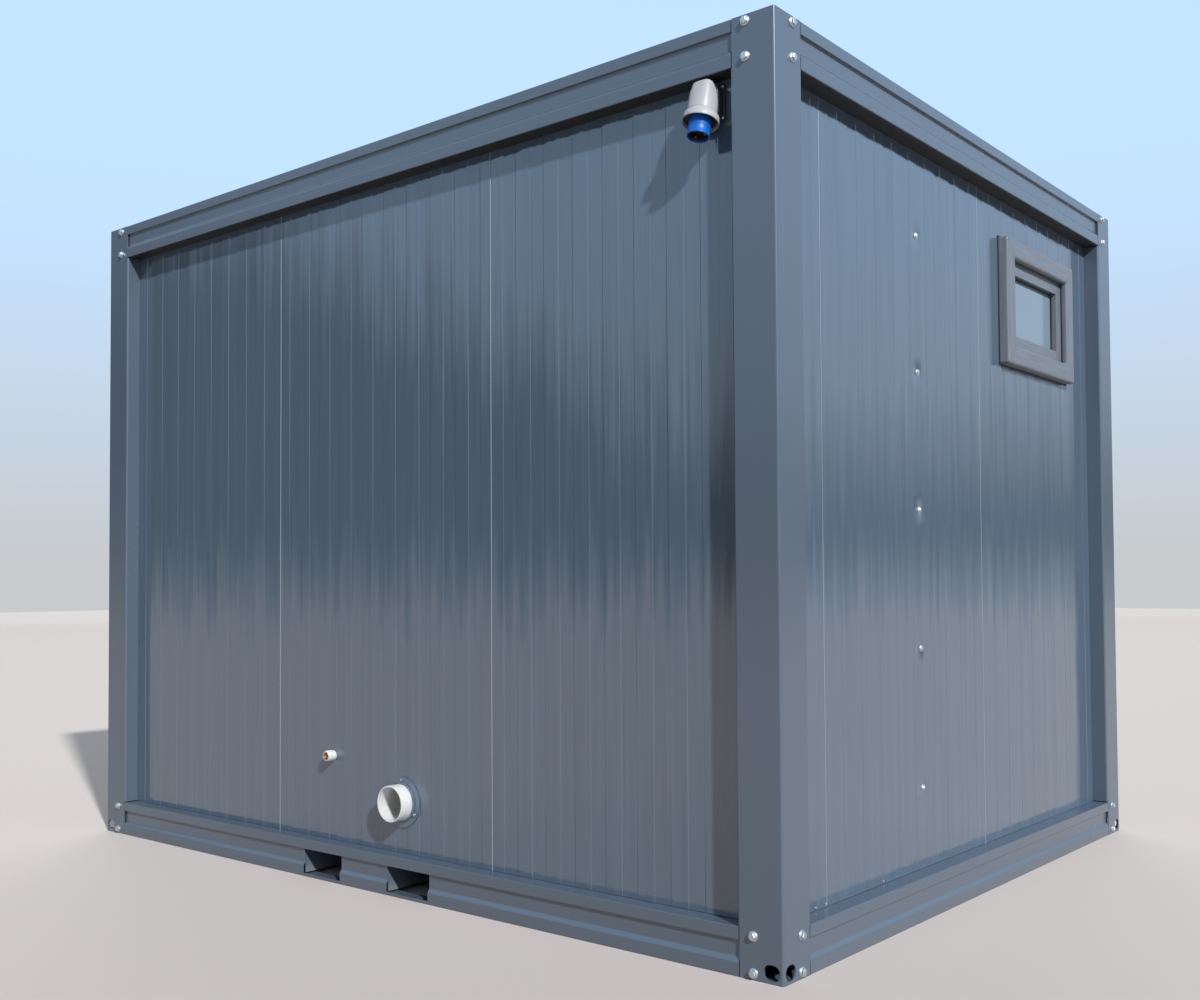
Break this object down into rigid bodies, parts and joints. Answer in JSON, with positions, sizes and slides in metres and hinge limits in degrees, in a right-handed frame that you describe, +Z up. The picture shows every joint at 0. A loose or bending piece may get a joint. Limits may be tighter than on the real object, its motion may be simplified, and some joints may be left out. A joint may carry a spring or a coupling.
{
  "type": "toilet container",
  "caption": "Steel-framed sanitary container with sandwich panel walls, a washroom and toilet cubicle, tilt window, entrance door, fork tunnels and connections for water, waste and power.",
  "frame": {"origin": "middle of the frame's footprint, on the ground", "axes": "+X along the long walls towards the window wall, -Y out of the wall with the service connections, +Z up"},
  "size_m": [3.011, 2.4975, 2.32],
  "materials": {
    "frame_paint": "semi-gloss powder coat",
    "panel_paint": "semi-gloss coil coat",
    "door_paint": "semi-gloss paint",
    "zinc": "bright zinc plate",
    "galvanised": "galvanised",
    "deck": "vinyl-faced board",
    "lining": "white coated lining",
    "laminate": "satin laminate",
    "window_pvc": "satin profile foil",
    "glazing": "clear double pane",
    "white_plastic": "smooth",
    "ceramic": "glazed",
    "chrome": "polished",
    "brass": "machined",
    "inlet_grey": "moulded",
    "inlet_blue": "moulded"
  },
  "bodies": {
    "container": {"corner_post_rear_right": "frame_paint", "corner_post_front_right": "frame_paint", "corner_post_front_left": "frame_paint", "corner_post_rear_left": "frame_paint", "bottom_rail_rear": "frame_paint", "bottom_rail_right": "frame_paint", "bottom_rail_front": "frame_paint", "bottom_rail_left": "frame_paint", "roof_rail_rear": "frame_paint", "roof_rail_right": "frame_paint", "roof_rail_front": "frame_paint", "roof_rail_left": "frame_paint", "rail_tongues": "frame_paint", "fork_tunnels": "frame_paint", "rear_panel_left": "panel_paint", "rear_panel_middle": "panel_paint", "rear_panel_right": "panel_paint", "side_panel_corner": "panel_paint", "side_panel_middle": "panel_paint", "side_panel_window": "panel_paint", "left_panels": "panel_paint", "front_panels": "panel_paint", "waste_flange": "panel_paint", "door_frame": "door_paint", "frame_bolts": "zinc", "panel_screws": "zinc", "door_hinge_pins": "zinc", "floor_joists": "galvanised", "roof_sheet": "galvanised", "floor_deck": "deck", "ceiling_panels": "lining", "cubicle_walls": "laminate", "window_frame": "window_pvc", "waste_pipe": "white_plastic", "water_inlet": "white_plastic", "water_pipes": "white_plastic", "basin_trap": "white_plastic", "distribution_board": "white_plastic", "ceiling_light": "white_plastic", "cistern": "white_plastic", "toilet_bowl": "ceramic", "washbasin": "ceramic", "cubicle_hinge_pins": "chrome", "seat_hinge": "chrome", "tap_body": "chrome", "water_thread": "brass", "inlet_housing": "inlet_grey", "inlet_shroud": "inlet_blue"},
    "door": {"door_leaf": "door_paint", "door_hinge_sleeves": "zinc"},
    "door_handle": {"door_lever": "chrome"},
    "cubicle_leaf": {"cubicle_door": "laminate", "cubicle_hinge_sleeves": "chrome"},
    "cubicle_lock": {"cubicle_knob": "chrome"},
    "sash": {"window_sash": "window_pvc", "window_pane": "glazing"},
    "sash_handle": {"window_handle": "white_plastic"},
    "seat": {"toilet_seat": "white_plastic"},
    "button": {"flush_button": "chrome"},
    "tap": {"tap_lever": "chrome"}
  },
  "joints": [
    {"name": "door_swing", "type": "hinge", "parent": "container", "child": "door", "pos_m": [-1.232, 1.1765, 1], "axis": [0, 0, 1], "range_deg": [0, 105]},
    {"name": "door_lever_turn", "type": "hinge", "parent": "door", "child": "door_handle", "pos_m": [-0.43, 1.142, 1.05], "axis": [0, -1, 0], "range_deg": [0, 40], "stiffness_Nm_per_rad": 1.5, "springref_deg": -22.92},
    {"name": "cubicle_swing", "type": "hinge", "parent": "container", "child": "cubicle_leaf", "pos_m": [-0.058, -0.4235, 1], "axis": [0, 0, -1], "range_deg": [0, 95]},
    {"name": "cubicle_lock_turn", "type": "hinge", "parent": "cubicle_leaf", "child": "cubicle_lock", "pos_m": [-0.03, -0.9605, 1.05], "axis": [1, 0, 0], "range_deg": [0, 90]},
    {"name": "sash_tilt", "type": "hinge", "parent": "container", "child": "sash", "pos_m": [1.4025, 0.5675, 1.711], "axis": [0, -1, 0], "range_deg": [0, 20]},
    {"name": "sash_handle_turn", "type": "hinge", "parent": "sash", "child": "sash_handle", "pos_m": [1.39, 0.5675, 1.993], "axis": [-1, 0, 0], "range_deg": [0, 90]},
    {"name": "seat_lift", "type": "hinge", "parent": "container", "child": "seat", "pos_m": [1.146, -0.738, 0.549], "axis": [0, 1, 0], "range_deg": [0, 95]},
    {"name": "flush_press", "type": "slide", "parent": "container", "child": "button", "axis": [0, 0, -1], "range_m": [0, 0.005], "stiffness_N_per_m": 400, "springref_m": -0.004},
    {"name": "tap_turn", "type": "hinge", "parent": "container", "child": "tap", "pos_m": [-0.87, -1.0545, 1.08], "axis": [0, 0, 1], "range_deg": [-60, 60]}
  ]
}
